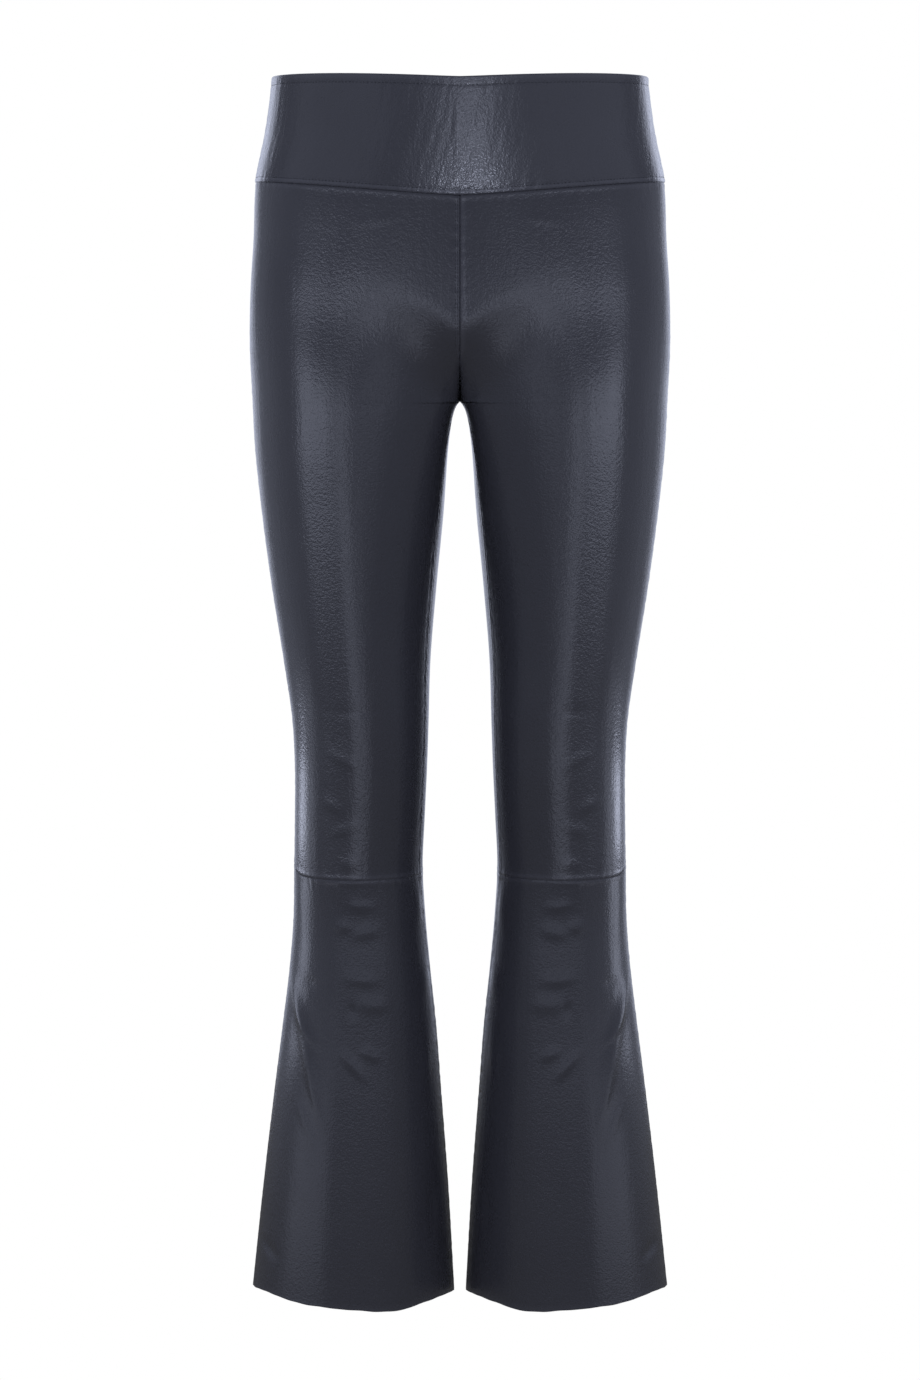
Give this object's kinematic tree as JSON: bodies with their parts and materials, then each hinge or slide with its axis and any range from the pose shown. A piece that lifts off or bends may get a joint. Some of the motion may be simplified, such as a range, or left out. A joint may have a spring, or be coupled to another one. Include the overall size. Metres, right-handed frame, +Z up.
{
  "type": "leather trousers",
  "caption": "High-waisted pull-on leather trousers with flared lower legs, filled out as worn, hollow, and open at the waist and hems.",
  "frame": {"origin": "middle of the waist opening, level with its top edge at the sides, where the wearer's waist holds the trousers up", "axes": "+Z up, out of the waist opening; the front faces -Y; +X is the wearer's left"},
  "size_m": [0.328, 0.2375, 0.9611],
  "materials": {
    "waistband_leather": "satin",
    "upper_leg_leather": "satin",
    "lower_leg_leather": "satin"
  },
  "bodies": {
    "root": {"waistband_front": "waistband_leather", "waistband_back": "waistband_leather", "front_upper_left": "upper_leg_leather", "front_upper_right": "upper_leg_leather", "back_upper_left": "upper_leg_leather", "back_upper_right": "upper_leg_leather", "front_lower_left": "lower_leg_leather", "front_lower_right": "lower_leg_leather", "back_lower_left": "lower_leg_leather", "back_lower_right": "lower_leg_leather"}
  },
  "joints": []
}
